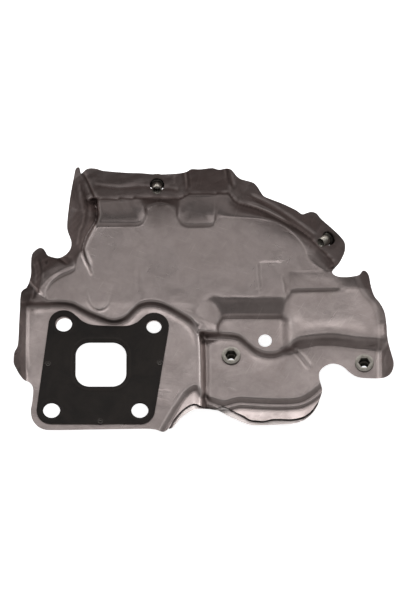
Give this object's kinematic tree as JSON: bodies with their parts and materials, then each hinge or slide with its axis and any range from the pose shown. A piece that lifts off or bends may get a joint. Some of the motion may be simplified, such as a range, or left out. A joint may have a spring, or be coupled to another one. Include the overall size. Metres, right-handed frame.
{
  "type": "exhaust manifold heat shield",
  "caption": "Pressed double-walled steel heat shield with a built-in black four-stud exhaust flange gasket and captive hexagonal rivet nuts.",
  "frame": {"origin": "centre of the bounding box in plan, at its lowest point, with the shield lying on its back", "axes": "+Z is the normal of the gasket face, towards the open side of the tray; +X runs along the shield from the gasket end to the nut end; +Y runs from the gasket's lower edge to the tall wall"},
  "size_m": [0.2194, 0.1518, 0.0537],
  "materials": {
    "front_sheet": "satin aluminised steel, slightly brownish",
    "rear_sheet": "satin aluminised steel",
    "gasket_coating": "matt black elastomer coating on steel",
    "gasket_rivet": "dark coated steel",
    "rivet_nut": "zinc plated steel, greenish grey"
  },
  "bodies": {
    "root": {"front_sheet": "front_sheet", "rear_sheet": "rear_sheet", "gasket_front_layer": "gasket_coating", "gasket_rear_layer": "gasket_coating", "gasket_rivet_left": "gasket_rivet", "gasket_rivet_right": "gasket_rivet", "gasket_rivet_bottom": "gasket_rivet", "rivet_nut_centre": "rivet_nut", "rivet_nut_right": "rivet_nut", "rivet_nut_top": "rivet_nut", "rivet_nut_corner": "rivet_nut"}
  },
  "joints": []
}
